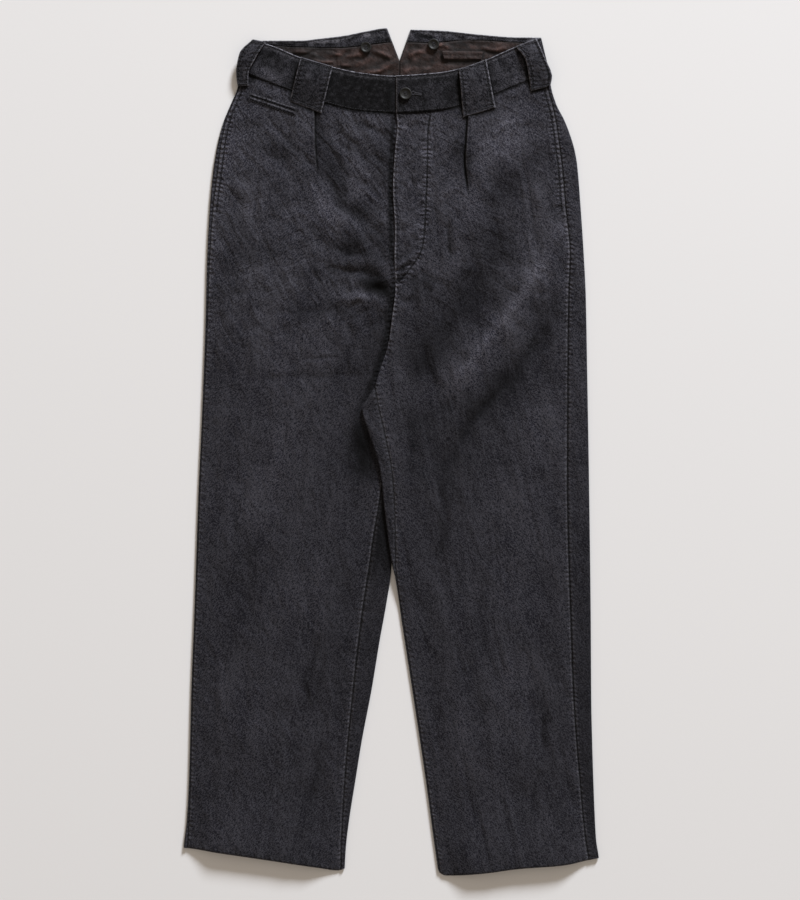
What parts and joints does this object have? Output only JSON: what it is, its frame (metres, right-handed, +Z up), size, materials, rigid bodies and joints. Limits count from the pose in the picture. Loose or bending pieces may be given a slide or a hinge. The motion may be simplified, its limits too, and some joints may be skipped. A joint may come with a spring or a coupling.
{
  "type": "fisherman trousers",
  "caption": "Wide pleated cotton twill work trousers laid flat, with a high waistband, wide belt loops, button fly and a notched back waist.",
  "frame": {"origin": "centre of the box's underside, where the trousers lie on the surface", "axes": "+Y runs from the hems to the waist, +X to the wearer's left, +Z up from the surface to the front"},
  "size_m": [0.5184, 1.058, 0.0126],
  "materials": {
    "twill": "matte, washed charcoal cotton twill",
    "lining": "soft brown cotton",
    "button": "dark grey, satin"
  },
  "bodies": {
    "root": {"front_right": "twill", "front_left": "twill", "back_right": "twill", "back_left": "twill", "waistband_front_right": "twill", "waistband_front_left": "twill", "waistband_back_right": "twill", "waistband_back_left": "twill", "back_facing_right": "twill", "back_facing_left": "twill", "lining_right": "lining", "lining_left": "lining", "belt_loop_side_right": "twill", "belt_loop_front_right": "twill", "belt_loop_front_left": "twill", "belt_loop_side_left": "twill", "coin_pocket_welt": "twill", "hanger_loop": "lining", "waist_button": "button", "brace_button_right": "button", "brace_button_left": "button"}
  },
  "joints": []
}
